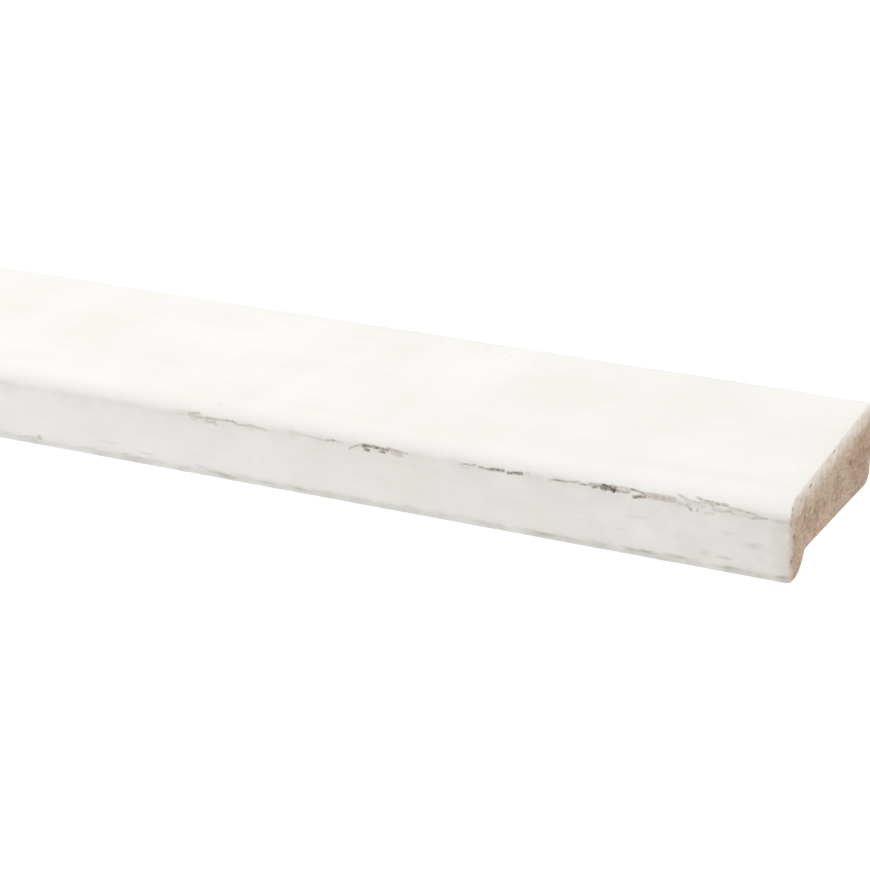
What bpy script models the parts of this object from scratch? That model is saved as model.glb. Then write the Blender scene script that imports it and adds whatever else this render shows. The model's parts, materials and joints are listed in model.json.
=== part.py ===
# A nosed glazing bead: a primed hardwood moulding that holds the foot of a window pane, lying as it would on a bench.
# The section is a flat bar whose underside is rebated behind a nose, and the rebate runs out at the heel, so that
# the bead can sit on a sloping sill with its nose hanging over the sill's front edge.
# Frame: +X along the bead, +Y from the nose to the heel, +Z up. The origin is under the middle of its box.

from math import acos, asin, atan2, ceil, cos, hypot, pi, radians, sin, tan

import bmesh
import bpy

MM = 0.001

# The stock, as the moulder planes it
LENGTH = 250 * MM
WIDTH = 57 * MM
THICKNESS = 20 * MM

# The nose and the rebate behind it
NOSE_WIDTH = 10 * MM
NOSE_BACK_RAKE = radians(26)
REBATE_DEPTH = 4.2 * MM

# Radii of the eased edges, in order round the section
ARRIS_RADIUS = 4.0 * MM
NOSE_FRONT_RADIUS = 1.0 * MM
NOSE_BACK_RADIUS = 6.8 * MM
REBATE_RADIUS = 0.5 * MM
HEEL_RADIUS = 3.5 * MM
BACK_EDGE_RADIUS = 1.0 * MM

# The widest turn between two facets of a rounded edge
FACET_TURN = pi / 20

PRIMER_COLOUR = (0.88, 0.87, 0.83, 1)
PRIMER_ROUGHNESS = 0.55


def seat_slope():
    """The angle of the seat, which runs from the back of the nose and just meets the round of the heel.

    The heel's round touches the back face and the floor, so its centre is one radius from each.
    """
    run = WIDTH - HEEL_RADIUS - NOSE_WIDTH
    fall = REBATE_DEPTH - HEEL_RADIUS
    return atan2(fall, run) + asin(HEEL_RADIUS / hypot(run, fall))


def sharp_section():
    """The section's corners before they are eased, as (y, z, radius), anticlockwise seen from +X."""
    nose_foot = NOSE_WIDTH - REBATE_DEPTH * tan(NOSE_BACK_RAKE)
    heel_corner = REBATE_DEPTH - (WIDTH - NOSE_WIDTH) * tan(seat_slope())
    return [
        (0, THICKNESS, ARRIS_RADIUS),
        (0, 0, NOSE_FRONT_RADIUS),
        (nose_foot, 0, NOSE_BACK_RADIUS),
        (NOSE_WIDTH, REBATE_DEPTH, REBATE_RADIUS),
        (WIDTH, heel_corner, HEEL_RADIUS),
        (WIDTH, THICKNESS, BACK_EDGE_RADIUS),
    ]


def eased_corner(before, corner, after, most_reach):
    """Points of the arc that rounds one corner, its radius limited so that it ends within its two walls."""
    y, z, radius = corner
    to_before = (before[0] - y, before[1] - z)
    to_after = (after[0] - y, after[1] - z)
    length_before, length_after = hypot(*to_before), hypot(*to_after)
    u = (to_before[0] / length_before, to_before[1] / length_before)
    v = (to_after[0] / length_after, to_after[1] / length_after)
    half_angle = acos(u[0] * v[0] + u[1] * v[1]) / 2
    reach = min(radius / tan(half_angle), most_reach[0] * length_before, most_reach[1] * length_after)
    radius = reach * tan(half_angle)
    middle = (u[0] + v[0], u[1] + v[1])
    to_centre = radius / sin(half_angle) / hypot(*middle)
    centre = (y + middle[0] * to_centre, z + middle[1] * to_centre)
    start = atan2(z + u[1] * reach - centre[1], y + u[0] * reach - centre[0])
    end = atan2(z + v[1] * reach - centre[1], y + v[0] * reach - centre[0])
    turn = (end - start + pi) % (2 * pi) - pi
    steps = ceil(abs(turn) / FACET_TURN)
    angles = [start + turn * i / steps for i in range(steps + 1)]
    return [(centre[0] + radius * cos(a), centre[1] + radius * sin(a)) for a in angles]


def wall_shares(corners):
    """For each corner, the share that its round may take of the wall before it and of the wall after it."""
    wanted = []
    for i, (y, z, radius) in enumerate(corners):
        before, after = corners[i - 1], corners[(i + 1) % len(corners)]
        bearing = atan2(before[1] - z, before[0] - y) - atan2(after[1] - z, after[0] - y)
        wanted.append(radius / abs(tan(bearing / 2)))
    shares = []
    for i in range(len(corners)):
        after = (i + 1) % len(corners)
        shares.append((
            wanted[i] / (wanted[i] + wanted[i - 1]),
            wanted[i] / (wanted[i] + wanted[after]),
        ))
    return shares


def section_points():
    """The whole outline of the section as (y, z), with every corner eased."""
    corners = sharp_section()
    shares = wall_shares(corners)
    points = []
    for i, corner in enumerate(corners):
        points += eased_corner(corners[i - 1], corner, corners[(i + 1) % len(corners)], shares[i])
    return points


def primed_wood():
    material = bpy.data.materials.new("primed_hardwood")
    material.use_nodes = True
    shader = material.node_tree.nodes["Principled BSDF"]
    shader.inputs["Base Color"].default_value = PRIMER_COLOUR
    shader.inputs["Roughness"].default_value = PRIMER_ROUGHNESS
    shader.inputs["Metallic"].default_value = 0
    return material


def make_bead():
    """The section, extruded along the bead, with its ends cut square."""
    mesh = bpy.data.meshes.new("glazing_bead")
    shape = bmesh.new()
    ring = [shape.verts.new((-LENGTH / 2, y - WIDTH / 2, z)) for y, z in section_points()]
    end = shape.faces.new(ring)
    pushed = bmesh.ops.extrude_face_region(shape, geom=[end])["geom"]
    far_end = [v for v in pushed if isinstance(v, bmesh.types.BMVert)]
    bmesh.ops.translate(shape, verts=far_end, vec=(LENGTH, 0, 0))
    bmesh.ops.recalc_face_normals(shape, faces=shape.faces)
    shape.to_mesh(mesh)
    shape.free()
    mesh.materials.append(primed_wood())
    mesh.shade_smooth()
    mesh.set_sharp_from_angle(angle=pi / 6)
    bead = bpy.data.objects.new("glazing_bead", mesh)
    bpy.context.scene.collection.objects.link(bead)
    return bead


for old in list(bpy.data.objects):
    bpy.data.objects.remove(old, do_unlink=True)

make_bead()
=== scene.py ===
# %% [markdown]
# # A glazing bead in primed hardwood
# The object is a length of moulding that closes the foot of a window: a flat bar with a nose along its front
# edge and a sloping rebate behind the nose. It was planed in a moulder, brushed with a matt white primer, and
# sawn off square. This lesson draws its section, extrudes it, wears its front arris and paints it.
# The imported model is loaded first, because every size and place is read from it.

# %% Load the frame
import json
from math import acos, cos, pi, radians, tan

import bmesh
import bpy
import numpy as np
from mathutils import Matrix, Vector


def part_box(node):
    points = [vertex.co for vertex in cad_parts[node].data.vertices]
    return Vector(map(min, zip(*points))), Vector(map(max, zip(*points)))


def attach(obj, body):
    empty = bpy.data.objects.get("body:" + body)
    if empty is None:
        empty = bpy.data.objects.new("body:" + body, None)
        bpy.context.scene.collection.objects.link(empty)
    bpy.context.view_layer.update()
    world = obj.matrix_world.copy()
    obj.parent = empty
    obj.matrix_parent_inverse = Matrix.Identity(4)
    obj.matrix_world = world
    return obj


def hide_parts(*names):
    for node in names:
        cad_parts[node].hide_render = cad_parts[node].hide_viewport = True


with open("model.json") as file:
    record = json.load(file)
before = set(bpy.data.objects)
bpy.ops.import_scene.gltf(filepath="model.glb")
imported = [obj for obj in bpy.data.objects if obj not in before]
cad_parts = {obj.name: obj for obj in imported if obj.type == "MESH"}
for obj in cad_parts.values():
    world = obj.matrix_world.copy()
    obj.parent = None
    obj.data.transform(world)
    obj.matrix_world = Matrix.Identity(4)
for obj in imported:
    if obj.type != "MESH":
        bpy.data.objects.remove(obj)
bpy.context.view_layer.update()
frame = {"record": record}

low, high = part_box("glazing_bead")
length, width, thickness = high - low
mounts = {mount["name"]: mount for mount in frame["record"]["mounts"]}
MM = 0.001
print("bead, in mm:", [round(side / MM, 2) for side in (length, width, thickness)])

# %% [markdown]
# ## Helpers for working by hand
# Blender's operators act on whatever is selected, so a modeller's most common move is to pick faces, edges or
# points. Here a rule on their middle and normal does the picking. The section is easier to think of from the
# nose's face and the floor than from the middle of the bead, so one function turns such a place into a point.

# %% Pick parts of a mesh, and place a point of the section
CLOSE = 0.02 * MM


def section_point(across, up, along=0.0):
    """A point given by its distance from the nose's face, from the floor, and from the bead's left end."""
    return Vector((low.x + along, low.y + across, low.z + up))


def middle_of(part):
    """The middle of an edge or a face."""
    return sum((v.co for v in part.verts), Vector()) / len(part.verts)


def pick(piece, kind, test):
    """In edit mode, selects the points, edges or faces that pass the test, and returns how many there are."""
    bpy.ops.mesh.select_mode(type=kind)
    bpy.ops.mesh.select_all(action="DESELECT")
    shape = bmesh.from_edit_mesh(piece.data)
    parts = {"VERT": shape.verts, "EDGE": shape.edges, "FACE": shape.faces}[kind]
    chosen = [part for part in parts if test(part)]
    for part in chosen:
        part.select_set(True)
    bmesh.update_edit_mesh(piece.data)
    return len(chosen)


bpy.ops.object.select_all(action="DESELECT")

# %% [markdown]
# ## The section: a plane cut and pulled to shape
# A moulder's cutters leave the same section all along, so it is drawn once, standing at the left end, and
# extruded later. It starts as a plane of the stock's size. Two upright cuts mark the foot and the root of the
# nose, and the lower points at the root and at the back are moved up onto the seat, the slope that the
# frame's seat mount gives. Drawing with a curve would work too, but a mesh can be cut into a grid straight
# away.

# %% Draw the sharp section
NOSE_WIDTH = 10 * MM
NOSE_BACK_RAKE = radians(26)
CUT_SNAP = CLOSE / 10
seat_place = Vector(mounts["seat"]["pos_m"])
seat_normal = Vector(mounts["seat"]["axis"])


def seat_height(across):
    """How high the seat's plane is above the floor, at a distance from the nose's face."""
    return seat_place.z - low.z - (low.y + across - seat_place.y) * seat_normal.y / seat_normal.z


rebate_depth = seat_height(NOSE_WIDTH)
nose_foot = NOSE_WIDTH - rebate_depth * tan(NOSE_BACK_RAKE)

bpy.ops.mesh.primitive_plane_add(
    size=1, location=section_point(width / 2, thickness / 2), rotation=(0, pi / 2, 0)
)
bead = bpy.context.object
bead.name = "primed_bead"
bpy.ops.transform.resize(value=(1, width, thickness))
bpy.ops.object.transform_apply(location=True, rotation=True, scale=True)
bpy.ops.object.mode_set(mode="EDIT")
for across in (nose_foot, NOSE_WIDTH):
    bpy.ops.mesh.select_all(action="SELECT")
    bpy.ops.mesh.bisect(plane_co=section_point(across, 0), plane_no=(0, 1, 0), threshold=CUT_SNAP)
for across in (NOSE_WIDTH, width):
    foot = section_point(across, 0)
    pick(bead, "VERT", lambda v: (v.co - foot).length < CLOSE)
    bpy.ops.transform.translate(value=(0, 0, seat_height(across)))


def is_a_cut(edge):
    """Whether an edge is one of the two upright cuts, which have done their work."""
    upright = abs(edge.verts[0].co.y - edge.verts[1].co.y) < CLOSE
    return upright and low.y + CLOSE < middle_of(edge).y < high.y - CLOSE


print("cuts taken away again:", pick(bead, "EDGE", is_a_cut))
bpy.ops.mesh.dissolve_edges(use_verts=False)
print("the rebate is", round(rebate_depth / MM, 2), "mm deep")

# %% [markdown]
# ## Easing the corners
# No edge of a planed bead stays sharp: paint runs off a sharp edge. A bevel on a single point of a flat face
# rounds it, and its offset is the length that it takes from each of the two sides, which is the radius over
# the tangent of half the corner's angle. The front arris gets many segments, because it is the worn one.

# %% Round each corner of the section
ARRIS_RADIUS = 4.0 * MM
NOSE_FRONT_RADIUS = 1.0 * MM
NOSE_BACK_RADIUS = 6.8 * MM
REBATE_RADIUS = 0.5 * MM
HEEL_RADIUS = 3.5 * MM
BACK_EDGE_RADIUS = 1.0 * MM
EASED = [
    # across, up, radius, segments
    (0, thickness, ARRIS_RADIUS, 26),
    (0, 0, NOSE_FRONT_RADIUS, 6),
    (nose_foot, 0, NOSE_BACK_RADIUS, 8),
    (NOSE_WIDTH, rebate_depth, REBATE_RADIUS, 2),
    (width, seat_height(width), HEEL_RADIUS, 10),
    (width, thickness, BACK_EDGE_RADIUS, 4),
]


def corner_angle(piece, corner):
    """The angle between the two edges that meet at a corner of the flat section."""
    shape = bmesh.from_edit_mesh(piece.data)
    point = min(shape.verts, key=lambda v: (v.co - corner).length)
    first, second = [(edge.other_vert(point).co - point.co).normalized() for edge in point.link_edges]
    return acos(first.dot(second))


for across, up, radius, segments in EASED:
    corner = section_point(across, up)
    reach = radius / tan(corner_angle(bead, corner) / 2)
    pick(bead, "VERT", lambda v: (v.co - corner).length < CLOSE)
    bpy.ops.mesh.bevel(offset=reach, segments=segments, affect="VERTICES")
pick(bead, "VERT", lambda v: v.co.z < low.z)
bpy.ops.transform.resize(value=(1, 1, 0), center_override=(0, 0, low.z))
print("points round the section:", len(bmesh.from_edit_mesh(bead.data).verts))

# %% [markdown]
# ## A grid for the wear, and the extrusion
# Chips and brush marks need points to move. Straight cuts through the section give the long sides their rows:
# coarse ones everywhere, closer ones on the nose, and rows a quarter of a millimetre apart just under the
# arris. The section is then extruded in steps of a millimetre, which makes the columns.

# %% Cut the grid and extrude the bead
ARRIS_LINE = 15.4 * MM
BAND_BELOW = 1.6 * MM
LOWEST_ROW = 1.5 * MM
NOSE_TOP = 4 * MM
ROW = 1 * MM
LOW_ROW = 0.5 * MM
FINE_ROW = 0.25 * MM
TOP_ROW = 2 * MM
COLUMN = 1 * MM

heights = list(np.arange(LOWEST_ROW, NOSE_TOP, LOW_ROW))
heights += list(np.arange(NOSE_TOP, ARRIS_LINE - BAND_BELOW, ROW))
heights += list(np.arange(ARRIS_LINE - BAND_BELOW, thickness - ARRIS_RADIUS, FINE_ROW))
depths = list(np.arange(ARRIS_RADIUS + ROW, width - ROW, TOP_ROW))
cuts = [(section_point(0, up), (0, 0, 1)) for up in heights]
cuts += [(section_point(across, 0), (0, 1, 0)) for across in depths]
for place, normal in cuts:
    bpy.ops.mesh.select_all(action="SELECT")
    bpy.ops.mesh.bisect(plane_co=place, plane_no=normal, threshold=CLOSE)
bpy.ops.mesh.select_all(action="SELECT")
bpy.ops.mesh.extrude_repeat(steps=round(length / COLUMN), offset=(COLUMN, 0, 0))
print(len(heights), "rows and", len(depths), "depths cut")

# %% [markdown]
# ## Finer columns where they are needed
# The worn band along the arris is only a few millimetres wide, so only its edges are cut again, into quarter
# millimetres. The sawn ends are cut finer as well, for the marks of the saw.

# %% Subdivide the arris band and the ends
BAND_ROUND = radians(46)
BAND_CUTS = 3
END_CUTS = 1


def along_the_bead(edge):
    """Whether an edge runs along the bead, as the edges of its columns do."""
    return abs(edge.verts[0].co.x - edge.verts[1].co.x) > CLOSE


def in_the_band(edge):
    """Whether an edge lies in the worn band, just under the arris and over the first part of the round."""
    middle = middle_of(edge)
    round_reach = ARRIS_RADIUS * (1 - cos(BAND_ROUND))
    return middle.y - low.y < round_reach and middle.z - low.z > ARRIS_LINE - BAND_BELOW


def at_an_end(edge):
    """Whether an edge lies in the last column before a sawn end."""
    middle = middle_of(edge)
    return min(middle.x - low.x, high.x - middle.x) < COLUMN


def in_an_end_face(face):
    """Whether a face lies in a sawn end."""
    return all(min(v.co.x - low.x, high.x - v.co.x) < CLOSE for v in face.verts)


pick(bead, "EDGE", lambda e: along_the_bead(e) and in_the_band(e))
bpy.ops.mesh.subdivide(number_cuts=BAND_CUTS)
pick(bead, "EDGE", lambda e: along_the_bead(e) and at_an_end(e))
bpy.ops.mesh.subdivide(number_cuts=END_CUTS)
pick(bead, "FACE", in_an_end_face)
bpy.ops.mesh.subdivide(number_cuts=END_CUTS)
bpy.ops.mesh.select_all(action="SELECT")
bpy.ops.mesh.normals_make_consistent(inside=False)
bpy.ops.object.mode_set(mode="OBJECT")
print("faces:", len(bead.data.polygons))

# %% [markdown]
# ## A measure over the section
# Wear follows the arris, which bends round from the front to the top, so its places are easier to give by a
# tape laid over the section: nought at the arris line, up over the round, down over the front and under the
# nose. The tape's reading is worked out for every point of the mesh while the bead is still as planed.

# %% Measure the girth
FACE_DEPTH = 0.05
places = np.empty(len(bead.data.vertices) * 3)
bead.data.vertices.foreach_get("co", places)
along, across, up = (places.reshape(-1, 3) - (0, low.y, low.z)).T / MM
arris, nose_round, line = ARRIS_RADIUS / MM, NOSE_FRONT_RADIUS / MM, ARRIS_LINE / MM
top = thickness / MM
round_foot = top - arris - line
nose_end = nose_round - line - nose_round * pi / 2

girth = np.where(up > top / 2, round_foot + arris * pi / 2 + across - arris, nose_end - across + nose_round)
on_front = across < FACE_DEPTH
girth[on_front] = (up - line)[on_front]
on_round = (across <= arris) & (up >= top - arris)
girth[on_round] = (round_foot + arris * np.arctan2(up - top + arris, arris - across))[on_round]
on_nose = (across < nose_round) & (up < nose_round)
turned = np.arctan2(nose_round - up, nose_round - across)
girth[on_nose] = (nose_round - line - nose_round * turned)[on_nose]
print("over the nose and the round, the tape reads from", round(nose_end, 1), "mm up")

# %% [markdown]
# ## Where the arris is worn
# Handling has broken the primer along the front arris and dirt has settled in the breaks. Each mark is a
# stroke, as a painter would dab it: half its width, its colour, how much of it covers, and where it runs, in
# millimetres from the middle of the bead and on the tape. The colours go from a faint grey through khaki,
# olive and umber to the rose of stained primer and bare tan wood. They are a paint chart's hex values, turned
# from sRGB to the linear values that a shader works in, so that they blend as light where strokes cross. An
# image could hold the marks, but strokes stay sharp at any size and are easy to move.

# %% Read a paint chart's colour


def paint(hex_colour):
    """A paint chart's sRGB colour as the linear one that a shader takes."""
    parts = [int(hex_colour[i:i + 2], 16) / 255 for i in (1, 3, 5)]
    return [part / 12.92 if part <= 0.04045 else ((part + 0.055) / 1.055) ** 2.4 for part in parts] + [1]


# %% List the strokes
FAINT, KHAKI, OLIVE, UMBER = "#B0ACA2", "#A29779", "#6E6350", "#63442B"
RUSSET, ROSE, BARE = "#8B7161", "#BBA493", "#D2AE86"
STROKES = [
    (0.70, FAINT, 0.14, ((-28.3, 0.78), (-22.8, 1.07))),
    (0.46, KHAKI, 0.95, ((-25.3, 0.82), (-22.9, 1.22))),
    (0.29, RUSSET, 0.42, ((-24.8, 0.17), (-23.3, 0.27), (-21.6, 0.27))),
    (0.21, ROSE, 0.42, ((-24.4, -0.33), (-23.6, -0.33))),
    (0.39, RUSSET, 0.52, ((-20.9, 0.47), (-19.2, 0.47))),
    (0.30, RUSSET, 0.44, ((-19.2, 0.47), (-16.7, 0.62), (-13.9, 0.77), (-12.7, 0.47))),
    (0.33, KHAKI, 0.42, ((-13.3, 0.42), (-11.7, 0.16))),
    (0.28, KHAKI, 0.42, ((-12.1, 0.21), (-8.7, 0.46), (-6.6, 0.26), (-4.3, -0.04))),
    (0.35, ROSE, 0.50, ((-21.0, -0.53), (-18.5, -0.23))),
    (0.21, OLIVE, 0.50, ((-18.7, -0.23), (-18.0, -0.74))),
    (0.45, FAINT, 0.22, ((2.4, 0.56), (6.0, 0.66))),
    (0.30, FAINT, 0.30, ((6.0, 0.45), (11.0, 0.15))),
    (0.31, OLIVE, 0.53, ((11.4, 0.15), (13.5, 0.45))),
    (0.22, FAINT, 0.55, ((13.7, 0.45), (15.9, 0.25))),
    (0.26, OLIVE, 0.43, ((17.5, -0.96), (19.0, 0.04), (20.2, 0.45))),
    (0.39, OLIVE, 0.73, ((20.9, 0.45), (22.1, 0.65), (25.6, 0.49))),
    (0.33, OLIVE, 0.72, ((21.6, -0.36), (22.7, -0.46))),
    (0.35, OLIVE, 0.60, ((25.6, 0.54), (27.6, 0.29))),
    (0.29, OLIVE, 0.64, ((25.4, -0.36), (26.7, -0.36))),
    (0.41, RUSSET, 0.50, ((27.4, 0.69), (30.6, 0.44))),
    (0.39, ROSE, 0.45, ((28.6, -0.16), (31.1, -0.36))),
    (0.23, ROSE, 0.53, ((30.6, 0.34), (32.6, 0.34))),
    (0.18, OLIVE, 0.52, ((46.2, 0.13), (47.9, 0.38))),
    (0.21, OLIVE, 0.66, ((48.5, 0.23), (49.9, 0.48))),
    (0.13, FAINT, 0.50, ((46.5, -0.47), (48.2, -0.47))),
    (0.29, RUSSET, 0.53, ((50.7, 0.13), (53.0, 0.02))),
    (0.36, OLIVE, 0.72, ((53.0, 0.02), (56.8, 0.37))),
    (0.39, OLIVE, 0.75, ((57.9, 0.07), (59.3, 0.22), (61.4, 0.47))),
    (0.26, FAINT, 0.35, ((61.6, 0.52), (63.1, 0.82))),
    (0.23, OLIVE, 0.38, ((68.0, 0.17), (69.7, 0.37))),
    (0.27, OLIVE, 0.60, ((69.7, 0.37), (71.5, 0.31))),
    (0.25, OLIVE, 0.45, ((71.5, 0.31), (75.3, 0.81))),
    (0.31, OLIVE, 0.52, ((75.7, 0.31), (78.1, 0.61))),
    (0.42, UMBER, 0.48, ((78.0, 0.76), (80.2, 0.96))),
    (0.33, OLIVE, 0.85, ((78.7, 0.21), (79.5, 0.36))),
    (0.64, UMBER, 0.74, ((80.9, 0.58), (83.8, 0.60))),
    (0.40, UMBER, 0.82, ((81.1, 1.06), (82.9, 1.01))),
    (0.41, OLIVE, 0.97, ((80.5, 0.61), (81.7, 0.11))),
    (0.50, UMBER, 1.00, ((82.1, 0.91), (83.7, 0.16))),
    (0.27, UMBER, 0.62, ((83.2, 1.31), (84.4, 1.21))),
    (0.45, RUSSET, 0.70, ((83.9, 0.71), (84.6, 0.31))),
    (0.39, OLIVE, 0.42, ((84.8, 0.36), (87.1, 0.40))),
    (0.31, KHAKI, 0.45, ((84.7, 1.21), (86.9, 1.31))),
    (0.33, OLIVE, 0.58, ((87.7, 1.31), (89.3, 1.11), (91.4, 0.70))),
    (0.37, OLIVE, 0.67, ((88.4, -0.40), (91.0, 0.05))),
    (0.75, KHAKI, 0.42, ((91.8, 0.50), (97.8, 0.50))),
    (0.49, BARE, 0.82, ((92.3, 0.45), (95.8, 0.65))),
    (0.33, ROSE, 0.60, ((93.4, 0.05), (96.2, 0.10))),
    (0.39, RUSSET, 0.45, ((96.7, 0.50), (98.2, 0.60))),
    (0.27, KHAKI, 0.35, ((98.6, -0.00), (101.0, -0.21))),
    (0.37, OLIVE, 0.46, ((101.1, -0.11), (102.2, -1.21))),
    (0.27, KHAKI, 0.53, ((103.6, -0.71), (103.4, -1.41))),
    (0.63, KHAKI, 0.19, ((101.6, 0.40), (105.0, 0.29))),
    (0.27, OLIVE, 0.36, ((99.0, 2.00), (101.0, 1.30))),
    (0.31, OLIVE, 0.38, ((103.3, 2.10), (105.0, 1.50), (107.0, 0.99))),
    (0.23, KHAKI, 0.60, ((105.2, 1.60), (107.3, 1.70))),
    (0.45, KHAKI, 0.58, ((107.6, 1.40), (110.3, 1.39))),
    (0.43, ROSE, 0.35, ((110.9, 0.89), (114.1, 0.59))),
    (0.25, BARE, 0.47, ((106.6, 0.59), (109.1, 0.29))),
    (0.27, RUSSET, 0.38, ((107.2, -0.11), (109.0, -0.21), (111.3, 0.19))),
    (0.18, FAINT, 0.40, ((111.6, -0.41), (113.6, -0.11))),
    (0.23, KHAKI, 0.45, ((114.9, 0.59), (116.6, 0.49), (117.9, 0.08))),
    (0.25, OLIVE, 0.50, ((116.1, -0.52), (117.6, -0.32), (119.5, -0.12))),
    (0.27, KHAKI, 0.26, ((105.2, -1.31), (107.5, -1.01))),
    (0.44, FAINT, 0.24, ((121.6, -0.22), (124.6, -0.22))),
    (0.15, KHAKI, 0.62, ((109.8, 1.15), (112.5, 0.85), (115.2, 0.55))),
    (0.14, RUSSET, 0.42, ((110.8, -0.12), (113.0, -0.24), (116.3, -0.48))),
    (0.14, OLIVE, 0.34, ((117.6, 0.10), (119.6, -0.12), (121.8, -0.20), (124.8, -0.24))),
    (0.15, KHAKI, 0.50, ((100.6, 1.00), (103.0, 0.95), (105.6, 1.05))),
    (0.42, KHAKI, 0.36, ((84.8, 0.80), (87.4, 0.85))),
]
print(len(STROKES), "strokes listed")

# %% Lay the strokes on the mesh
FAR_OUTSIDE = -2.0
FRINGE = 0.5


def distance_to(start, end, x, g):
    """How far the points (x, g) are from a straight stretch of a stroke."""
    run = np.subtract(end, start)
    share = np.clip(((x - start[0]) * run[0] + (g - start[1]) * run[1]) / (run @ run), 0, 1)
    return np.hypot(x - start[0] - share * run[0], g - start[1] - share * run[1])


wear = np.full(len(along), FAR_OUTSIDE)
laid = np.zeros(len(along))
blend = np.zeros((5, len(along)))  # red, green, blue, alpha and cover
for half_width, colour, share, stops in STROKES:
    for start, end in zip(stops, stops[1:]):
        inside = half_width - distance_to(start, end, along, girth)
        wear = np.maximum(wear, inside)
        weight = np.clip(inside / half_width + FRINGE, 0, None) ** 2
        laid += weight
        blend += np.outer([*paint(colour), share], weight)
blend = np.divide(blend, laid, out=np.zeros_like(blend), where=laid > 0)
cover = blend[4]
for name, values in (("wear", wear), ("wear_cover", cover), ("girth", girth)):
    field = bead.data.attributes.new(name, "FLOAT", "POINT")
    field.data.foreach_set("value", values.astype(np.float32))
field = bead.data.attributes.new("wear_colour", "FLOAT_COLOR", "POINT")
field.data.foreach_set("color", blend[:4].T.ravel().astype(np.float32))
print("points in the marks:", int((wear > 0).sum()))

# %% [markdown]
# ## Relief: pressed in, never out
# Wear takes wood away, so each kind of relief presses the surface in where a painted weight says, and a
# cloud texture breaks up its depth. The round above the arris is a little hollow where the plane stopped, and
# lumpy, because the primer lies thick there. Reaches are in millimetres, as the tape's readings are.

# %% Press the surface in where the weights say
LEAST_WEIGHT = 0.001


def press_in(piece, name, weights, depth, grain=None):
    """Moves the surface in by up to depth where the weights say, in clouds of the grain's size if given."""
    group = piece.vertex_groups.new(name=name)
    weighted = np.flatnonzero(weights > LEAST_WEIGHT)
    for index in weighted:
        group.add([int(index)], float(weights[index]), "REPLACE")
    press = piece.modifiers.new(name, "DISPLACE")
    press.vertex_group = name
    press.strength = -depth
    press.mid_level = 0
    press.texture_coords = "LOCAL"
    if grain:
        press.texture = bpy.data.textures.new(name, "CLOUDS")
        press.texture.noise_scale = grain
    bpy.ops.object.modifier_apply(modifier=name)
    print(name, "moved", len(weighted), "points")


def eased_step(distance, reach):
    """A step from 0 to 1 over a reach, with soft ends."""
    share = np.clip(distance / reach, 0, 1)
    return share * share * (3 - 2 * share)


# %% The arris and the chips in it
HOLLOW_START, HOLLOW_RISE, HOLLOW_FADE = 0.3, 1.6, 7.5
LUMPS_START, LUMPS_RISE, LUMPS_END, LUMPS_FADE = -1.0, 1.5, 1.5, 3.0
CHIP_MARGIN, CHIP_SLOPE = 0.15, 0.45
above = girth - HOLLOW_START
hollow = np.sin(pi / 2 * np.clip(above / HOLLOW_RISE, 0, 1))
hollow *= 1 - eased_step(above - HOLLOW_RISE, HOLLOW_FADE)
lumps = eased_step(girth - LUMPS_START, LUMPS_RISE) * (1 - eased_step(girth - LUMPS_END, LUMPS_FADE))
chips = np.clip((wear + CHIP_MARGIN) / CHIP_SLOPE, 0, 1) * cover
press_in(bead, "hollow_round", hollow, depth=0.16 * MM)
press_in(bead, "arris_lumps", lumps, depth=0.30 * MM, grain=10 * MM)
press_in(bead, "chips", chips, depth=0.4 * MM, grain=0.8 * MM)

# %% The planer's waves and the nicked nose
WAVES_FROM_END, WAVES_ABOVE = 0.1, 3
NICKS_BELOW, NICKS_FADE, NICKS_ACROSS = 2.2, 1.5, 1.5
from_end = np.minimum(along - low.x / MM, high.x / MM - along)
waves = 1.0 * ((from_end > WAVES_FROM_END) & (up > WAVES_ABOVE))
nicks = eased_step(NICKS_BELOW - up, NICKS_FADE) * (across < NICKS_ACROSS)
press_in(bead, "planer_waves", waves, depth=0.06 * MM, grain=24 * MM)
press_in(bead, "nose_nicks", nicks, depth=0.12 * MM, grain=2.6 * MM)

# %% The torn corners and the sawn ends
TORN_LENGTH, TORN_HEIGHT, TORN_ACROSS, TORN_FADE = 1.2, 4.0, 3.5, 3.0
SAWN_REACH = 0.6
SMOOTH_BELOW = radians(35)
torn_corner = eased_step(TORN_LENGTH - from_end, TORN_LENGTH) * eased_step(TORN_HEIGHT - up, TORN_FADE)
torn_corner *= eased_step(TORN_ACROSS - across, TORN_FADE)
sawn = np.clip(1 - from_end / SAWN_REACH, 0, 1)
press_in(bead, "torn_corners", torn_corner, depth=0.5 * MM, grain=1.5 * MM)
press_in(bead, "sawn_ends", sawn, depth=0.14 * MM, grain=1.0 * MM)
bpy.ops.object.shade_smooth_by_angle(angle=SMOOTH_BELOW)

# %% Press the sawn faces flat again
bpy.ops.object.mode_set(mode="EDIT")
for end, outward in ((low.x, -1), (high.x, 1)):
    print("points beyond the saw cut:", pick(bead, "VERT", lambda v: (v.co.x - end) * outward > 0))
    bpy.ops.transform.resize(value=(0, 1, 1), center_override=(end, 0, 0))
bpy.ops.object.mode_set(mode="OBJECT")

# %% [markdown]
# ## Is it a sound solid?
# A mesh that will be printed or cast has every edge between exactly two faces, and faces that point out, so
# that its volume comes out above nought.

# %% Check the mesh
shape = bmesh.new()
shape.from_mesh(bead.data)
print("open edges:", sum(not edge.is_manifold for edge in shape.edges))
print("volume in ml:", round(shape.calc_volume() * 1e6, 2))
print("triangles:", sum(len(face.verts) - 2 for face in shape.faces))
shape.free()

# %% [markdown]
# ## Materials: one helper
# A material is a tree of nodes. One function adds any node, with its settings and what goes into its sockets,
# so that each finish reads as a list of what it is made of.

# %% Add a node


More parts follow.
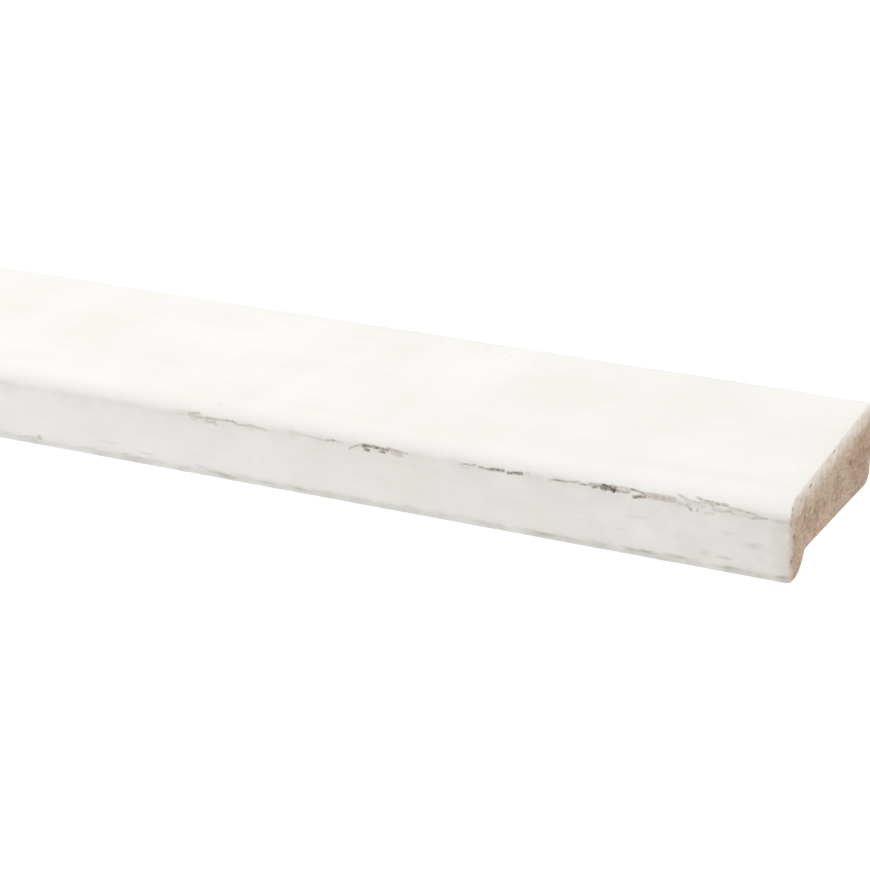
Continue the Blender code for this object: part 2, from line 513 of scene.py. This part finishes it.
def add(tree, kind, inputs=(), **settings):
    """One node, with its settings, and with a value or another node's output in each of its named sockets."""
    node = tree.nodes.new(kind)
    for name, value in settings.items():
        setattr(node, name, value)
    for name, value in dict(inputs).items():
        if isinstance(value, bpy.types.NodeSocket):
            tree.links.new(value, node.inputs[name])
        else:
            node.inputs[name].default_value = value
    return node


def new_finish(name):
    """An empty material with a shader, and the tree that it sits in."""
    finish = bpy.data.materials.new(name)
    finish.use_nodes = True
    return finish, finish.node_tree, finish.node_tree.nodes["Principled BSDF"]


def per(size):
    """The scale of a pattern whose features are this size, for coordinates in metres."""
    return 1 / size


# %% [markdown]
# ## Shares along a measure, and soft marks
# One function gives a colour's share along a measure, from a few stops: it lays the painted shade and the
# darkening towards the right end on the front, and the whiter coat of painted light on the round. Another
# lays
# soft oval marks at places on the bead: a Mapping node of the texture kind moves, turns and shrinks the space
# so that a round gradient becomes an oval of the mark's size. A third unsettles the places, so that no edge
# is drawn clean.

# %% A share along a measure, and soft oval marks
NOISE_MEAN = (0.5, 0.5, 0.5)


def share_along(tree, measure, stops):
    """A share along a measure, straight between its stops, each a reading and a share."""
    first, last = stops[0][0], stops[-1][0]
    reach = add(tree, "ShaderNodeMapRange", {"Value": measure, "From Min": first, "From Max": last})
    laid_share = add(tree, "ShaderNodeValToRGB", {"Fac": reach.outputs[0]})
    elements = laid_share.color_ramp.elements
    for _ in stops[1:-1]:
        elements.new(position=0.5)
    for element, (reading, share) in zip(elements, stops):
        element.position = (reading - first) / (last - first)
        element.color = (share, share, share, 1)
    return laid_share.outputs[0]


def soft_marks(tree, place, marks):
    """The shares of soft oval marks, added up: each has a middle, half sizes, turns and a share."""
    total = 0.0
    for middle, half_sizes, turns, share in marks:
        inside = add(tree, "ShaderNodeMapping", {
            "Vector": place, "Location": middle, "Rotation": turns, "Scale": half_sizes,
        }, vector_type="TEXTURE")
        oval = add(tree, "ShaderNodeTexGradient", {"Vector": inside.outputs[0]}, gradient_type="SPHERICAL")
        total = add(tree, "ShaderNodeMath", {
            0: oval.outputs["Fac"], 1: share, 2: total}, operation="MULTIPLY_ADD").outputs[0]
    return total


def unsettled(tree, place, grain, reach):
    """The place, moved about by a noise within a reach, which gives what is laid on it uneven edges."""
    noise = add(tree, "ShaderNodeTexNoise", {"Vector": place, "Scale": per(grain), "Detail": 2})
    swing = add(tree, "ShaderNodeVectorMath", {0: noise.outputs["Color"], 1: NOISE_MEAN},
                operation="SUBTRACT")
    return add(tree, "ShaderNodeVectorMath", {
        0: swing.outputs[0], 1: reach, 2: place}, operation="MULTIPLY_ADD").outputs[0]


# %% [markdown]
# ## Brushed primer
# Shop primer is a matt white alkyd with chalk in it, put on with a brush along the bead. It is slightly warm,
# it never covers quite evenly, and the bristles leave fine streaks. So two near whites are mixed by a slow
# cloud, a pattern stretched along the bead gives the streaks, and the wear from the strokes goes over both.
# The round is painted whiter than the rest, as painted light, so that it stays as bright as the top.

# %% The primer's base colour
PRIMER_CHALK = "#F1EFEB"
PRIMER_THIN = "#EBE9E4"
PRIMER_LIT = "#F8F6F2"
# Painted light: the share of a whiter primer along the round, read on the tape.
LIT_ROUND = ((0.2, 0), (1.0, 0.6), (2.0, 0.9), (3.0, 1), (4.0, 0.45), (5.0, 0))
CLOUD_SIZE = 26 * MM
STREAK_LENGTH = 60 * MM
STREAK_WIDTH = 1.3 * MM
STREAK_SHARE = 0.35
THIN_FROM, THIN_FULLY = 0.5, 0.85

primer, tree, shader = new_finish("brushed_alkyd_primer")
place = add(tree, "ShaderNodeTexCoord").outputs["Object"]
sides = add(tree, "ShaderNodeSeparateXYZ", {0: place}).outputs
cloud = add(tree, "ShaderNodeTexNoise", {"Vector": place, "Scale": per(CLOUD_SIZE), "Detail": 3})
brushed = add(tree, "ShaderNodeMapping", {
    "Vector": place, "Scale": (per(STREAK_LENGTH), per(STREAK_WIDTH), per(STREAK_WIDTH))})
streaks = add(tree, "ShaderNodeTexNoise", {"Vector": brushed.outputs[0], "Scale": 1, "Detail": 2})
uneven = add(tree, "ShaderNodeMath", {
    0: streaks.outputs[0], 1: STREAK_SHARE, 2: cloud.outputs[0]}, operation="MULTIPLY_ADD")
thin = add(tree, "ShaderNodeMapRange", {
    "Value": uneven.outputs[0], "From Min": THIN_FROM, "From Max": THIN_FULLY})
base = add(tree, "ShaderNodeMix", {
    0: thin.outputs[0], 6: paint(PRIMER_CHALK), 7: paint(PRIMER_THIN)}, data_type="RGBA").outputs[2]
tape = add(tree, "ShaderNodeAttribute", attribute_name="girth").outputs["Fac"]
# Painted light: the round is mixed towards a whiter primer.
lit_round = share_along(tree, tape, LIT_ROUND)
base = add(tree, "ShaderNodeMix", {0: lit_round, 6: base, 7: paint(PRIMER_LIT)}, data_type="RGBA").outputs[2]

# %% [markdown]
# ## Painted shade and scuffs on the front
# A grey is painted along the nose's down-facing low edge as painted shade; it thins out upwards, and comes
# back faintly as painted shade at and under the arris. The front is also made darker towards the right end.
# Scuffs from stacking are soft marks, listed with their places. The brush lapped over on the top, which left
# a hairline.

# %% The painted shade and the scuffs
# One grey serves both the scuffs and the painted shade.
DIRT_AND_SHADE = "#8D897F"
# Painted shade along the nose's down-facing low edge, read on the tape.
LOW_EDGE_SHADE = ((-17.5, 0.14), (-15.6, 0.2), (-14.2, 0.24), (-13.6, 0.22), (-13.1, 0.07), (-12.2, 0))
# Painted shade at and just under the arris, read on the tape.
ARRIS_SHADE = (
    (-17.5, 0), (-15.0, 0.02), (-4.0, 0.04), (-1.5, 0.07), (0.3, 0.11), (1.0, 0.1), (1.8, 0.03), (4, 0),
)
# The front grows darker towards the right end, along the bead in millimetres.
DARKER_TO_THE_RIGHT = ((-40, 0), (30, 0.015), (70, 0.05), (110, 0.09), (125, 0.13))
FRONT_SCUFFS = [
    # along, up, length, height, turn in degrees, share
    (-72.8, 2.1, 7.5, 0.9, 3, 0.26), (-69.3, 2.6, 2.2, 1.8, 0, 0.50), (-55.8, 1.9, 9.0, 0.9, 5, 0.20),
    (-49.2, 4.6, 7.5, 1.0, 0, 0.15), (-44.4, 2.3, 4.6, 0.7, 4, 0.34), (-40.2, 2.1, 4.8, 0.8, 6, 0.30),
    (-37.8, 3.6, 7.0, 0.8, 2, 0.26), (-23.2, 2.8, 5.0, 0.7, -8, 0.30), (-17.1, 1.6, 11.5, 1.1, -6, 0.34),
    (-5.1, 1.5, 9.0, 0.9, 2, 0.20), (3.5, 1.6, 9.0, 0.9, -4, 0.20), (66.5, 1.8, 8.0, 1.0, 1, 0.26),
    (75.5, 7.0, 3.0, 0.9, 1, 0.09), (84.5, 6.5, 2.4, 1.1, -10, 0.12), (87.1, 2.0, 5.0, 1.0, -8, 0.26),
    (91.3, 1.9, 6.8, 1.2, -1, 0.38), (98.3, 2.1, 7.6, 1.4, -3, 0.34), (110.7, 1.8, 6.5, 1.1, 4, 0.24),
    (123.8, 1.8, 4.2, 1.2, 1, 0.36), (89.3, 10.0, 7.0, 1.8, 8, 0.14), (110.2, 4.0, 5.5, 1.0, 6, 0.30),
    (105.7, 4.2, 2.8, 2.4, 0, 0.20), (111.0, 10.1, 3.6, 0.9, 0, 0.14), (116.5, 8.1, 6.2, 2.2, 6, 0.20),
    (120.8, 3.9, 6.0, 1.4, 0, 0.10), (118.2, 5.0, 2.4, 2.4, 0, 0.10), (66.7, 1.5, 9.0, 1.0, 1, 0.16),
]
TOP_SCUFFS = [
    # along, across, length, depth, turn in degrees, share
    (-18.4, 10.0, 22.0, 0.7, 94, 0.05), (-17.5, 1.9, 1.2, 1.6, 0, 0.18), (-12.8, 9.0, 13.0, 26.0, 0, 0.06),
    (28.6, 53.2, 3.0, 1.2, 0, 0.14), (35.5, 50.6, 2.0, 1.2, 0, 0.12), (43.6, 48.5, 2.2, 1.2, 0, 0.12),
    (44.9, 55.6, 3.0, 1.0, 0, 0.14), (100.6, 7.9, 46.0, 9.0, 0, 0.05), (59.8, 29.8, 40.0, 16.0, 12, 0.02),
]

# %% Place the scuffs
SCUFF_GRAIN = 3 * MM
SCUFF_SWING = (3 * MM, 0.8 * MM, 0.8 * MM)
INTO = 3 * MM
scuffed_place = unsettled(tree, place, SCUFF_GRAIN, SCUFF_SWING)
marks = [
    ((x * MM, low.y, low.z + z * MM), (long / 2 * MM, INTO, tall / 2 * MM), (0, -radians(turn), 0), share)
    for x, z, long, tall, turn, share in FRONT_SCUFFS
]
marks += [
    ((x * MM, low.y + y * MM, high.z), (long / 2 * MM, deep / 2 * MM, INTO), (0, 0, radians(turn)), share)
    for x, y, long, deep, turn, share in TOP_SCUFFS
]
scuffs = soft_marks(tree, scuffed_place, marks)
print(len(marks), "scuffs laid")

# %% Add up the painted shade, the darkening to the right and the scuffs
BLOTCH_SIZE = 5 * MM
RAG_SIZE = 3 * MM
RAG_SWING = 1.8
DARKENING_REACH = 6 * MM
DARKENING_END = 9 * MM
blotch = add(tree, "ShaderNodeTexNoise", {"Vector": place, "Scale": per(BLOTCH_SIZE), "Detail": 4}).outputs[0]
ragged = add(tree, "ShaderNodeTexNoise", {"Vector": place, "Scale": per(RAG_SIZE), "Detail": 3}).outputs[0]
tape_swing = add(tree, "ShaderNodeMath", {
    0: ragged, 1: RAG_SWING, 2: -RAG_SWING / 2}, operation="MULTIPLY_ADD").outputs[0]
swung_tape = add(tree, "ShaderNodeMath", {0: tape, 1: tape_swing}, operation="ADD").outputs[0]
near_front = add(tree, "ShaderNodeMapRange", {
    "Value": sides["Y"], "From Min": low.y + DARKENING_END, "From Max": low.y + DARKENING_REACH}).outputs[0]
x_in_mm = add(tree, "ShaderNodeMath", {0: sides["X"], 1: 1 / MM}, operation="MULTIPLY").outputs[0]
# Painted shade along the low edge and at the arris, and the front darker towards the right end.
low_edge_shade = share_along(tree, swung_tape, LOW_EDGE_SHADE)
arris_shade = share_along(tree, tape, ARRIS_SHADE)
to_the_right = share_along(tree, x_in_mm, DARKER_TO_THE_RIGHT)
laid_share = add(tree, "ShaderNodeMath", {0: low_edge_shade, 1: arris_shade}, operation="ADD").outputs[0]
below_arris = add(tree, "ShaderNodeMapRange", {"Value": tape, "From Min": 2.0, "From Max": -1.0}).outputs[0]
laid_share = add(tree, "ShaderNodeMath", {
    0: to_the_right, 1: below_arris, 2: laid_share}, operation="MULTIPLY_ADD").outputs[0]
patchy = add(tree, "ShaderNodeMapRange", {
    "Value": blotch, "From Min": 0.3, "From Max": 0.7, "To Min": 0.55, "To Max": 1.45}).outputs[0]
laid_share = add(tree, "ShaderNodeMath", {0: laid_share, 1: patchy}, operation="MULTIPLY").outputs[0]
laid_share = add(tree, "ShaderNodeMath", {0: laid_share, 1: near_front}, operation="MULTIPLY").outputs[0]
# The painted shade and the darkening are added to the scuffs, and the primer is mixed towards the grey by
# them.
shade_and_dirt = add(tree, "ShaderNodeMath", {0: laid_share, 1: scuffs}, operation="ADD", use_clamp=True).outputs[0]
shaded_dirty_base = add(tree, "ShaderNodeMix", {0: shade_and_dirt, 6: base, 7: paint(DIRT_AND_SHADE)}, data_type="RGBA").outputs[2]

# %% [markdown]
# ## The wear in the primer
# The strokes gave each point how far it is inside a mark, and the mark's colour and cover. Adding a fine
# noise to the distance frays the marks' edges, and a second noise leaves flakes of primer inside them.

# %% Fray the strokes and colour them
FRAY_LENGTH = 1.6 * MM
FRAY_WIDTH = 0.4 * MM
FRAY_REACH = 0.8
WORN_FROM, WORN_FULLY = 0.22, 0.62
FLAKE_SIZE = 0.7 * MM
wear_field, cover_field = [
    add(tree, "ShaderNodeAttribute", attribute_name=name).outputs["Fac"] for name in ("wear", "wear_cover")
]
wear_colour = add(tree, "ShaderNodeAttribute", attribute_name="wear_colour").outputs["Color"]
frayed = add(tree, "ShaderNodeMapping", {
    "Vector": place, "Scale": (per(FRAY_LENGTH), per(FRAY_WIDTH), per(FRAY_WIDTH))})
fray = add(tree, "ShaderNodeTexNoise", {
    "Vector": frayed.outputs[0], "Scale": 1, "Detail": 3, "Roughness": 0.65}).outputs[0]
worn = add(tree, "ShaderNodeMath", {
    0: fray, 1: FRAY_REACH, 2: wear_field}, operation="MULTIPLY_ADD").outputs[0]
worn_share = add(tree, "ShaderNodeMapRange", {
    "Value": worn, "From Min": WORN_FROM, "From Max": WORN_FULLY}, interpolation_type="SMOOTHSTEP").outputs[0]
flake = add(tree, "ShaderNodeTexNoise", {"Vector": place, "Scale": per(FLAKE_SIZE), "Detail": 2}).outputs[0]
flaked = add(tree, "ShaderNodeMapRange", {
    "Value": flake, "From Min": 0.3, "From Max": 0.62, "To Min": 1.4, "To Max": 0.7}).outputs[0]
worn_share = add(tree, "ShaderNodeMath", {0: worn_share, 1: flaked}, operation="MULTIPLY").outputs[0]
worn_share = add(tree, "ShaderNodeMath", {
    0: worn_share, 1: cover_field}, operation="MULTIPLY", use_clamp=True).outputs[0]
worn_base = add(tree, "ShaderNodeMix", {
    0: worn_share, 6: shaded_dirty_base, 7: wear_colour}, data_type="RGBA").outputs[2]

# %% [markdown]
# ## Bare wood at the ends' edges
# The saw tore the primer back from the ends' edges by a fraction of a millimetre, and further at the low
# corner of the nose, where pinkish wood looks through. It also shimmers faintly through the last few
# millimetres of primer, which are thin. The top is hardly torn, so there the share is only a quarter.

# %% The torn edge of the primer
EDGE_WOOD = "#CDB7A5"
END_TEAR = 0.45 * MM
CORNER_TEAR = 0.9 * MM
CORNER_HEIGHT = 3.5 * MM
TEAR_FADE = 0.5 * MM
PAST_THE_END = 0.1 * MM
TEAR_SHARE = 0.75
TOP_SHARE = 0.25
FRONT_HEIGHT = 14 * MM
TOP_HEIGHT = 17 * MM
BLUSH_REACH = 5 * MM
BLUSH = 0.28
TEAR_GRAIN = 1.4 * MM
TEAR_SWING = (1.2 * MM, 1.2 * MM, 1.2 * MM)
edge_place = add(tree, "ShaderNodeSeparateXYZ", {0: unsettled(tree, place, TEAR_GRAIN, TEAR_SWING)}).outputs
from_middle = add(tree, "ShaderNodeMath", {0: edge_place["X"]}, operation="ABSOLUTE").outputs[0]
corner = add(tree, "ShaderNodeMapRange", {
    "Value": sides["Z"], "From Min": low.z, "From Max": low.z + CORNER_HEIGHT,
    "To Min": CORNER_TEAR, "To Max": 0}).outputs[0]
tear_reach = add(tree, "ShaderNodeMath", {0: from_middle, 1: corner}, operation="ADD").outputs[0]
torn = add(tree, "ShaderNodeMapRange", {
    "Value": tear_reach, "From Min": high.x - END_TEAR - TEAR_FADE, "From Max": high.x + PAST_THE_END,
    "To Max": TEAR_SHARE}).outputs[0]
blush = add(tree, "ShaderNodeMapRange", {
    "Value": tear_reach, "From Min": high.x - BLUSH_REACH, "From Max": high.x, "To Max": BLUSH}).outputs[0]
torn = add(tree, "ShaderNodeMath", {0: torn, 1: blush}, operation="MAXIMUM").outputs[0]
front_only = add(tree, "ShaderNodeMapRange", {
    "Value": sides["Z"], "From Min": low.z + TOP_HEIGHT, "From Max": low.z + FRONT_HEIGHT,
    "To Min": TOP_SHARE, "To Max": 1}).outputs[0]
torn = add(tree, "ShaderNodeMath", {0: torn, 1: front_only}, operation="MULTIPLY").outputs[0]
primer_base = add(tree, "ShaderNodeMix", {
    0: torn, 6: worn_base, 7: paint(EDGE_WOOD)}, data_type="RGBA").outputs[2]

# %% The primer's surface
PRIMER_ROUGHNESS = 0.6
bristle = add(tree, "ShaderNodeBump", {
    "Height": streaks.outputs[0], "Strength": 0.3, "Distance": 0.05 * MM})
pitted = add(tree, "ShaderNodeBump", {
    "Height": fray, "Strength": worn_share, "Distance": 0.15 * MM, "Normal": bristle.outputs[0]})
tree.links.new(primer_base, shader.inputs["Base Color"])
tree.links.new(pitted.outputs[0], shader.inputs["Normal"])
shader.inputs["Roughness"].default_value = PRIMER_ROUGHNESS

# %% [markdown]
# ## Sawn end grain
# The ends were cut with a fine saw and never painted: a pinkish tan hardwood with open pores, which end grain
# shows as dark smudges and pale specks. The growth rings lie nearly flat, so every pattern is wider than it
# is tall. The brush went over the top and front edges a little and left a thin veil of primer there. Slow
# patches of brown, a mottle, fine specks, the veil and the pores are laid over each other.

# %% The sawn wood
WOOD_TAN = "#C5B19A"
WOOD_ROSE = "#C2A793"
WOOD_BROWN = "#9A7B5C"
PATCH_SIZE = 7 * MM
RING_GRAIN = (per(4 * MM), per(4.5 * MM), per(1.8 * MM))
end_wood, tree, shader = new_finish("sawn_hardwood_end")
place = add(tree, "ShaderNodeTexCoord").outputs["Object"]
patch = add(tree, "ShaderNodeTexNoise", {"Vector": place, "Scale": per(PATCH_SIZE), "Detail": 3}).outputs[0]
flat_rings = add(tree, "ShaderNodeMapping", {"Vector": place, "Scale": RING_GRAIN}).outputs[0]
mottle = add(tree, "ShaderNodeTexNoise", {
    "Vector": flat_rings, "Scale": 1, "Detail": 4, "Roughness": 0.7}).outputs[0]
rosy = add(tree, "ShaderNodeMapRange", {"Value": patch, "From Min": 0.42, "From Max": 0.6}).outputs[0]
wood = add(tree, "ShaderNodeMix", {
    0: rosy, 6: paint(WOOD_TAN), 7: paint(WOOD_ROSE)}, data_type="RGBA").outputs[2]

# %% The brown patches of heartwood
HEART_GRAIN = 3 * MM
HEART_SWING = (5 * MM, 8 * MM, 4 * MM)
BEYOND_THE_BEAD = 1.0
END_PATCHES = [
    # across, up, width, height, share
    (50, 8, 30, 18, 0.62), (16, 10, 18, 8, 0.65), (3.2, 6.5, 9, 9, 0.25), (32, 8, 14, 8, 0.40),
]


def on_the_end(rows):
    """Soft marks from rows of places and sizes on the sawn end, long enough to show on the other end too."""
    return [
        ((high.x, low.y + y * MM, low.z + z * MM), (BEYOND_THE_BEAD, wide / 2 * MM, tall / 2 * MM), (0, 0, 0),
         share)
        for y, z, wide, tall, share in rows
    ]


heart = soft_marks(tree, unsettled(tree, place, HEART_GRAIN, HEART_SWING), on_the_end(END_PATCHES))
browned = add(tree, "ShaderNodeMapRange", {
    "Value": mottle, "From Min": 0.45, "From Max": 0.66, "To Max": 0.5}).outputs[0]
browned = add(tree, "ShaderNodeMath", {0: browned, 1: heart}, operation="ADD", use_clamp=True).outputs[0]
wood = add(tree, "ShaderNodeMix", {0: browned, 6: wood, 7: paint(WOOD_BROWN)}, data_type="RGBA").outputs[2]

# %% The pores
PORE_GRAIN = 0.9 * MM
PORE_SWING = (1 * MM, 1.8 * MM, 0.8 * MM)
END_PORES = [
    # across, up, width, height, share
    (41.7, 11.0, 2.6, 1.4, 0.95), (24.2, 8.8, 2.4, 1.2, 0.80), (9.6, 12.1, 2.0, 1.0, 0.65),
    (18.7, 7.7, 2.8, 1.1, 0.75), (53.7, 8.8, 2.2, 1.0, 0.60), (21.3, 13.3, 2.2, 0.8, 0.60),
    (47.2, 3.7, 2.2, 0.9, 0.60), (53.8, 2.4, 2.4, 1.0, 0.60), (1.3, 18.0, 1.8, 1.4, 0.95),
    (1.1, 16.8, 1.5, 1.0, 0.80), (0.2, 14.8, 1.4, 1.8, 0.90), (1.0, 5.5, 1.6, 1.8, 0.80),
    (13.3, 18.2, 2.0, 1.3, 0.85), (7.2, 17.6, 2.4, 0.8, 0.65), (29.5, 19.3, 3.0, 0.9, 0.75),
    (2.9, 10.8, 2.0, 1.1, 0.55), (32.9, 10.9, 2.8, 1.0, 0.50), (30.2, 15.1, 2.2, 0.8, 0.55),
    (16.4, 5.9, 2.4, 1.0, 0.60), (0.3, 12.6, 1.2, 1.0, 0.60), (36.5, 6.4, 2.2, 0.9, 0.45),
]
print(len(END_PATCHES), "patches and", len(END_PORES), "pores listed")

# %% Specks of the fine grain, and the pores' shares
FLECK = "#EBDCCB"
FINE_GRAIN = (per(0.9 * MM), per(1.5 * MM), per(0.55 * MM))
fine_rings = add(tree, "ShaderNodeMapping", {"Vector": place, "Scale": FINE_GRAIN}).outputs[0]
fine = add(tree, "ShaderNodeTexNoise", {"Vector": fine_rings, "Scale": 1, "Detail": 2}).outputs[0]
specks = [
    # the grain's noise where they begin and where they are full, their share, and their colour
    (0.52, 0.74, 0.6, WOOD_BROWN), (0.46, 0.24, 0.5, FLECK),
]
speck_shares = [
    add(tree, "ShaderNodeMapRange", {
        "Value": fine, "From Min": begins, "From Max": full, "To Max": share}).outputs[0]
    for begins, full, share, _ in specks
]
for speck_share, (*_, colour) in zip(speck_shares, specks):
    wood = add(tree, "ShaderNodeMix", {
        0: speck_share, 6: wood, 7: paint(colour)}, data_type="RGBA").outputs[2]
pores = soft_marks(tree, unsettled(tree, place, PORE_GRAIN, PORE_SWING), on_the_end(END_PORES))

# %% The veil over the wood, and the pores through it
PORE = "#5A4536"
VEIL = "#EEE7DD"
VEIL_GRAIN = 3 * MM
VEIL_SWING = (3 * MM, 5 * MM, 6 * MM)
TOP_VEIL = 5.5 * MM
FULL_VEIL = 0.3 * MM
FRONT_VEIL = 3.5 * MM
FRONT_SHARE = 0.45
veil_place = add(tree, "ShaderNodeSeparateXYZ", {0: unsettled(tree, place, VEIL_GRAIN, VEIL_SWING)}).outputs
top_veil = add(tree, "ShaderNodeMapRange", {
    "Value": veil_place["Z"], "From Min": high.z - TOP_VEIL, "From Max": high.z - FULL_VEIL}).outputs[0]
front_veil = add(tree, "ShaderNodeMapRange", {
    "Value": veil_place["Y"], "From Min": low.y + FRONT_VEIL, "From Max": low.y,
    "To Max": FRONT_SHARE}).outputs[0]
veil = add(tree, "ShaderNodeMath", {0: top_veil, 1: front_veil}, operation="MAXIMUM").outputs[0]
for share, colour in ((veil, VEIL), (pores, PORE)):
    wood = add(tree, "ShaderNodeMix", {0: share, 6: wood, 7: paint(colour)}, data_type="RGBA").outputs[2]

# %% The sawn surface
WOOD_ROUGHNESS = 0.8
saw_marks = add(tree, "ShaderNodeBump", {"Height": mottle, "Strength": 0.5, "Distance": 0.12 * MM})
pitted = add(tree, "ShaderNodeBump", {
    "Height": pores, "Strength": 0.6, "Distance": 0.2 * MM, "Normal": saw_marks.outputs[0]}, invert=True)
tree.links.new(wood, shader.inputs["Base Color"])
tree.links.new(pitted.outputs[0], shader.inputs["Normal"])
shader.inputs["Roughness"].default_value = WOOD_ROUGHNESS

# %% Put the finishes on
AT_THE_CUT = 0.3 * MM
FACING_OUT = 0.7
bead.data.materials.append(primer)
bead.data.materials.append(end_wood)
for face in bead.data.polygons:
    near_end = min(face.center.x - low.x, high.x - face.center.x) < AT_THE_CUT
    face.material_index = int(near_end and abs(face.normal.x) > FACING_OUT)
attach(bead, "root")
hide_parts("glazing_bead")
print("sawn faces:", sum(face.material_index for face in bead.data.polygons))

# %% [markdown]
# ## The floor and the light
# The bead lies on a plain white table with an even white sky and one large softbox overhead, a little to the
# left. The table glows a little, as a lit white sweep does, so that shadows stay faint.

# %% Floor, sky and softbox
FLOOR_SIDE = 8.0
TABLE_WHITE = 0.3
TABLE_GLOW = 0.825
TABLE_ROUGHNESS = 0.9
bpy.ops.object.select_all(action="DESELECT")
bpy.ops.mesh.primitive_plane_add(size=FLOOR_SIDE, location=(0, 0, low.z))
floor = bpy.context.object
floor.name = "table"
table_white, tree, shader = new_finish("white_table")
shader.inputs["Base Color"].default_value = (TABLE_WHITE, TABLE_WHITE, TABLE_WHITE, 1)
shader.inputs["Roughness"].default_value = TABLE_ROUGHNESS
shader.inputs["Emission Color"].default_value = (1, 1, 1, 1)
shader.inputs["Emission Strength"].default_value = TABLE_GLOW
floor.data.materials.append(table_white)

SKY = 0.63
sky = bpy.data.worlds.new("white_sky")
sky.use_nodes = True
sky.node_tree.nodes["Background"].inputs["Color"].default_value = (1, 1, 1, 1)
sky.node_tree.nodes["Background"].inputs["Strength"].default_value = SKY
bpy.context.scene.world = sky

SOFTBOX_SIDE = 1.2
SOFTBOX_PLACE = (-0.35, 0.1, 1.3)
SOFTBOX_WATTS = 11.4
bpy.ops.object.light_add(type="AREA", location=SOFTBOX_PLACE)
softbox = bpy.context.object
softbox.name = "softbox"
softbox.data.size = SOFTBOX_SIDE
softbox.data.energy = SOFTBOX_WATTS
bpy.context.scene.view_settings.view_transform = "Standard"

# %% [markdown]
# ## The camera
# The camera stands to the right of the bead and looks down on it, so that the front, the top and the sawn end
# show. Its place, turn and focal length were fitted to the long edges and the end's outline in the
# photograph. A camera looks along its own -Z, so the turns are made about its axes in that order: a small
# roll, a tilt up from straight down, and a turn about the vertical.

# %% Set the camera
CAMERA_PLACE = (0.29615, -0.53628, 0.29003)
CAMERA_TURN = radians(26.7723)
CAMERA_DOWN = radians(25.2438)
CAMERA_ROLL = radians(-2.3764)
FOCAL_LENGTH_MM = 114.401
SENSOR_MM = 36.0
NEAREST, FARTHEST = 0.01, 50
bpy.ops.object.camera_add()
camera = bpy.context.object
camera.matrix_world = (
    Matrix.Translation(CAMERA_PLACE)
    @ Matrix.Rotation(CAMERA_TURN, 4, "Z")
    @ Matrix.Rotation(pi / 2 - CAMERA_DOWN, 4, "X")
    @ Matrix.Rotation(CAMERA_ROLL, 4, "Z")
)
camera.data.lens = FOCAL_LENGTH_MM
camera.data.sensor_width = SENSOR_MM
camera.data.clip_start = NEAREST
camera.data.clip_end = FARTHEST
bpy.context.scene.camera = camera
